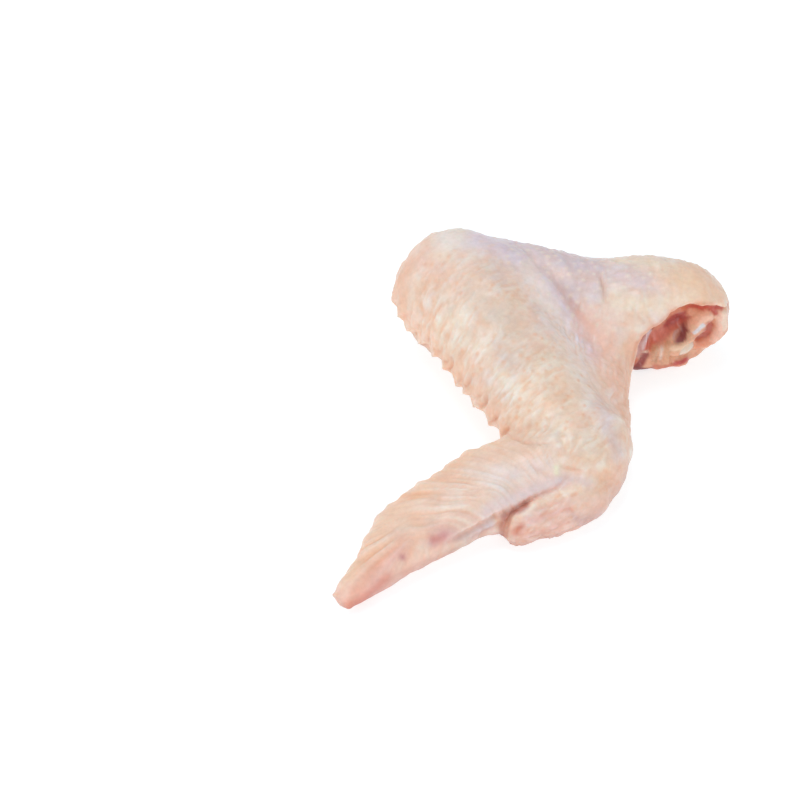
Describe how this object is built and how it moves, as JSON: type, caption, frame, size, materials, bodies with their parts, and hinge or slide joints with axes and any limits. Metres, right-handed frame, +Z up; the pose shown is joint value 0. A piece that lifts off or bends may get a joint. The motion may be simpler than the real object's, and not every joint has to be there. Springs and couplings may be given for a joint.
{
  "type": "raw chicken wing",
  "caption": "Raw whole chicken wing with its skin on, lying folded with the outer side up, its bone showing in the shoulder's cut.",
  "frame": {"origin": "middle of the wing's outline on the table it lies on", "axes": "+X from the elbow to the cut shoulder, +Y from the wing's tip to the upper arm, +Z up from the table"},
  "size_m": [0.1038, 0.124, 0.0341],
  "materials": {
    "skin": "raw chicken skin, moist, with a soft gloss",
    "flesh": "raw muscle and fat, wet",
    "bone": "pale cartilage over bone, smooth and wet"
  },
  "bodies": {
    "root": {"wing": "skin", "humerus": "bone"}
  },
  "joints": []
}
